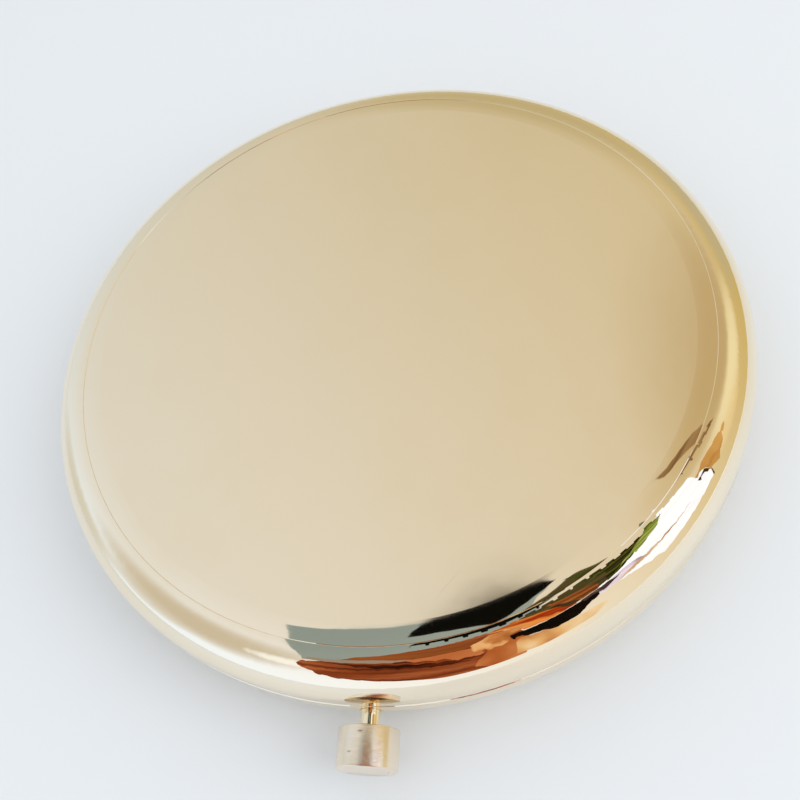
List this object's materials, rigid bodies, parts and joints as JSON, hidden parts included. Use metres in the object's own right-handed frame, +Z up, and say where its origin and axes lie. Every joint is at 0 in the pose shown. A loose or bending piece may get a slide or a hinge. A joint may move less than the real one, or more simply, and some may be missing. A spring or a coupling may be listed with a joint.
{
  "type": "powder compact",
  "caption": "Round gold metal powder compact with a hinged mirror lid, a push-button catch at the front, a pan of pressed powder and a puff inside.",
  "frame": {"origin": "on the case axis, at the flat face the compact rests on", "axes": "+Z up along the case axis, -Y towards the push button, +Y towards the hinge, +X to the right when the button faces the viewer"},
  "size_m": [0.07, 0.0755, 0.0111],
  "materials": {
    "case_gold": "polished gold plate with a satin-mirror panel",
    "inner_gold": "bright gold plate",
    "hinge_gold": "gold-plated, tumbled",
    "knob_satin": "fine circumferential brushing, pale gold",
    "stem_gold": "polished",
    "pin_steel": "drawn wire and stamped steel",
    "spring_steel": "blued spring steel",
    "glue": "soft adhesive pad",
    "pan_metal": "drawn sheet, satin",
    "pressed_powder": "matt pressed powder, peach beige",
    "puff_velour": "short soft pile",
    "puff_satin": "woven satin",
    "ribbon_satin": "satin ribbon",
    "mirror_glass": "silvered glass with a bevelled edge"
  },
  "bodies": {
    "base": {"base_shell": "case_gold", "inner_tray": "inner_gold", "base_lip": "inner_gold", "pan_adhesive": "glue", "powder_pan": "pan_metal", "powder_cake": "pressed_powder", "puff_pile": "puff_velour", "puff_cover": "puff_satin", "puff_ribbon": "ribbon_satin", "hinge_base_leaf": "hinge_gold", "hinge_pin": "pin_steel", "stem_bush": "hinge_gold", "spring_bracket": "hinge_gold", "latch_cover": "inner_gold"},
    "lid": {"lid_shell": "case_gold", "lid_bezel": "inner_gold", "mirror_glass": "mirror_glass", "mirror_pad": "glue", "lid_strike": "hinge_gold", "hinge_lid_leaf": "hinge_gold"},
    "button": {"button_knob": "knob_satin", "button_stem": "stem_gold", "stem_clip": "pin_steel", "catch_slide": "hinge_gold", "catch_spring": "spring_steel", "button_spring": "spring_steel"}
  },
  "joints": [
    {"name": "lid_hinge", "type": "hinge", "parent": "base", "child": "lid", "pos_m": [0, 0.0344, 0.0062], "axis": [-1, 0, 0], "range_deg": [0, 118], "deforming": ["catch_spring"]},
    {"name": "button_slide", "type": "slide", "parent": "base", "child": "button", "axis": [0, 1, 0], "range_m": [0, 0.0013], "stiffness_N_per_m": 800, "springref_m": -0.0018, "deforming": ["button_spring"]}
  ]
}
